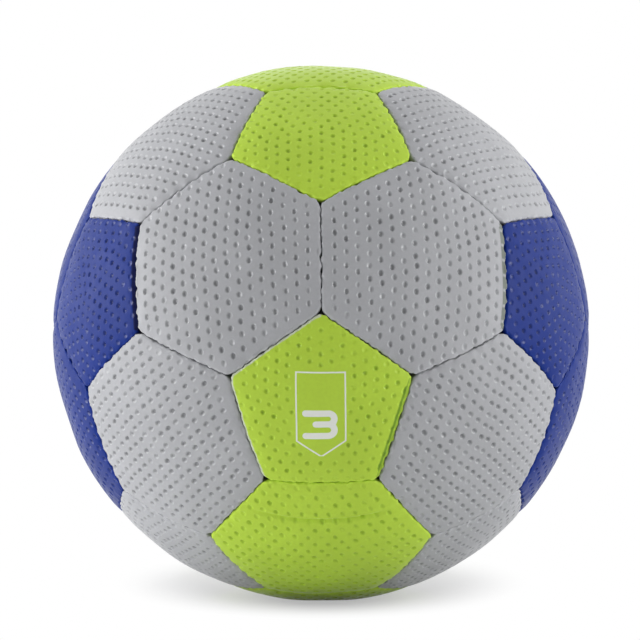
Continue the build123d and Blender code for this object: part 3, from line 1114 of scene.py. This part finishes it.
# Studio, in metres: white floor with a contact shadow, soft light from both sides and from above
CAMERA_DISTANCE = 15.0 * BALL_RADIUS * MM
CAMERA_ELEVATION = math.radians(7)
LENS = 226.0
SENSOR = 36.0
CLIP_START = 0.05
IMAGE_SIZE = 640
BALL_PIXEL = (321.15, 333.15)  # the ball's centre in the photograph
FRONT_LIGHT = 0.035  # the open side of the light tent, towards the camera
BACK_LIGHT = 0.8
TENT_RANGE = (-0.7, 0.6)  # from front to back, over which the tent brightens
SIDE_BOX = (0.8, 1.0)
TOP_BOX = (1.2, 1.2)
SOFT_BOXES = {  # place, size and power
    "left_box": ((-1.25, -0.4, 0.12), SIDE_BOX, 12.3),
    "right_box": ((1.25, -0.4, 0.33), SIDE_BOX, 12.2),
    "left_rim_box": ((-1.2, 0.35, 0.3), SIDE_BOX, 7.4),
    "right_rim_box": ((1.2, 0.35, 0.3), SIDE_BOX, 3.2),
    "top_box": ((0, 0.1, 1.5), TOP_BOX, 4.0),
}
FLOOR_HALF_WIDTH = 4.0
FLOOR = 0.86
TABLE_GLOW = 0.15  # painted light: the floor's glow, and the distances from the ball's foot over which it begins
TABLE_RANGE = (0.12, 0.35)
NEAR_GLOW = 0.24  # painted light: glow of the floor's ring round the ball's shadow, and where that begins and ends
RING_INSIDE = (0.06, 0.1)
RING_OUTSIDE = (0.12, 0.22)
BOUNCE_LEFT = 1.0  # what the floor gives back to the ball, from its two sides
BOUNCE_RIGHT = 0.58
BOUNCE_RANGE = (-0.1, 0.1)
UNDER_BALL = 0.03  # share of that from straight under it
UNDER_RANGE = (0.025, 0.07)
SHADOW_FADE = 0.41  # how much of the contact shadow is lost in the white
SHADOW_BEHIND = 0.033  # how far behind the contact the shadow's middle is
SHADOW_RANGE = (0.04, 0.076)  # from that middle, over which the shadow ends
MIRROR_RANGE = (0.03, 0.09)  # from the ball's foot, over which reflections of the floor turn white


def aim(thing, target):
    thing.rotation_euler = (target - thing.location).to_track_quat("-Z", "Y").to_euler()


def make_camera():
    camera = bpy.data.objects.new("camera", bpy.data.cameras.new("camera"))
    camera.data.lens = LENS
    camera.data.sensor_width = SENSOR
    camera.data.clip_start = CLIP_START
    bpy.context.scene.collection.objects.link(camera)
    back = Vector((0, -math.cos(CAMERA_ELEVATION), math.sin(CAMERA_ELEVATION)))
    up = Vector((0, math.sin(CAMERA_ELEVATION), math.cos(CAMERA_ELEVATION)))
    camera.location = back * CAMERA_DISTANCE
    pixel = CAMERA_DISTANCE * SENSOR / LENS / IMAGE_SIZE
    right_of_middle = (BALL_PIXEL[0] - IMAGE_SIZE / 2) * pixel
    below_middle = (BALL_PIXEL[1] - IMAGE_SIZE / 2) * pixel
    aim(camera, Vector((-right_of_middle, 0, 0)) + up * below_middle)
    bpy.context.scene.camera = camera


def soft_box(name, place, size, power):
    light = bpy.data.objects.new(name, bpy.data.lights.new(name, "AREA"))
    light.data.shape = "RECTANGLE"
    light.data.size, light.data.size_y = size
    light.data.energy = power
    light.location = place
    aim(light, Vector((0, 0, 0)))
    bpy.context.scene.collection.objects.link(light)


def seen_directly(tree):
    """1 for rays that show the background itself or its reflection."""
    path = tree.nodes.new("ShaderNodeLightPath").outputs
    mirrored = tree.math("MAXIMUM", path["Is Glossy Ray"], path["Is Transmission Ray"])
    return tree.math("MAXIMUM", path["Is Camera Ray"], mirrored)


def make_world():
    """A light tent that is open to the front; the background itself is plain white."""
    world = bpy.data.worlds.new("studio")
    bpy.context.scene.world = world
    tree = NodeTree(world)
    ambient = tree.nodes["Background"]
    direction = tree.add("TexCoord", {}, "Generated")
    to_back = tree.axis_value(direction, "Y")
    strength = tree.ranged(to_back, TENT_RANGE, (FRONT_LIGHT, BACK_LIGHT), smooth=True)
    tree.give(ambient, {"Color": WHITE, "Strength": strength})
    white = tree.add("Background", {"Color": WHITE, "Strength": 1.0})
    shown = tree.add("MixShader", {"Fac": seen_directly(tree), 1: ambient.outputs[0], 2: white})
    tree.give(tree.nodes["World Output"], {"Surface": shown})


def floor_radius(tree, place, behind=0.0):
    """Distance on the floor from a point straight behind the place where the ball stands."""
    inputs = {0: place, 1: (1, 1, 0), 2: (0, -behind, 0)}
    flat = tree.add("VectorMath", inputs, operation="MULTIPLY_ADD")
    return tree.add("VectorMath", {0: flat}, "Value", operation="LENGTH")


def floor_finish():
    """White to the eye, with the ball's contact shadow; to the ball, a floor glowing all round that shadow
    as painted light.
    """
    material, tree, shader = new_material("white_floor")
    place = tree.object_place()
    seen = seen_directly(tree)
    radius = floor_radius(tree, place)
    by_side = tree.ranged(tree.axis_value(place, "X"), BOUNCE_RANGE, (BOUNCE_LEFT, BOUNCE_RIGHT))
    # Painted light: the floor glows, further out and in a ring round the shadow
    painted_table_glow = tree.ranged(radius, TABLE_RANGE, (0, TABLE_GLOW), smooth=True)
    ring = tree.times(
        tree.ranged(radius, RING_INSIDE, (0, NEAR_GLOW), smooth=True),
        tree.ranged(radius, RING_OUTSIDE, (1, 0), smooth=True),
    )
    bounce = tree.times(by_side, tree.ranged(radius, UNDER_RANGE, (UNDER_BALL, 1), smooth=True))
    tree.give(shader, {
        "Base Color": tree.math("MAXIMUM", bounce, tree.times(seen, FLOOR)),
        "Roughness": 1.0,
        "Specular IOR Level": 0.0,
        "Emission Color": WHITE,
        "Emission Strength": tree.math("ADD", painted_table_glow, tree.times(ring, by_side)),
    })
    from_shadow = floor_radius(tree, place, SHADOW_BEHIND)
    past_shadow = tree.ranged(from_shadow, SHADOW_RANGE, (SHADOW_FADE, 1), smooth=True)
    mirrored = tree.ranged(radius, MIRROR_RANGE, (0, 1), smooth=True)
    to_camera = tree.add("LightPath", {}, "Is Camera Ray")
    whiteness = tree.add("Mix", {"Factor": to_camera, "A": mirrored, "B": past_shadow})
    white = tree.add("Emission", {"Strength": 1.0})
    inputs = {"Fac": tree.times(whiteness, seen), 1: shader.outputs[0], 2: white}
    tree.give(tree.nodes["Material Output"], {"Surface": tree.add("MixShader", inputs)})
    return material


def make_floor():
    sheet = bmesh.new()
    bmesh.ops.create_grid(sheet, x_segments=1, y_segments=1, size=FLOOR_HALF_WIDTH)
    bmesh.ops.translate(sheet, verts=sheet.verts, vec=(0, 0, cad_box[0].z))
    mesh_data = bpy.data.meshes.new("floor")
    sheet.to_mesh(mesh_data)
    sheet.free()
    mesh_data.materials.append(floor_finish())
    mesh_object("floor", mesh_data)


make_camera()
make_world()
make_floor()
for name, (place, size, power) in SOFT_BOXES.items():
    soft_box(name, place, size, power)
bpy.context.scene.view_settings.view_transform = "Standard"
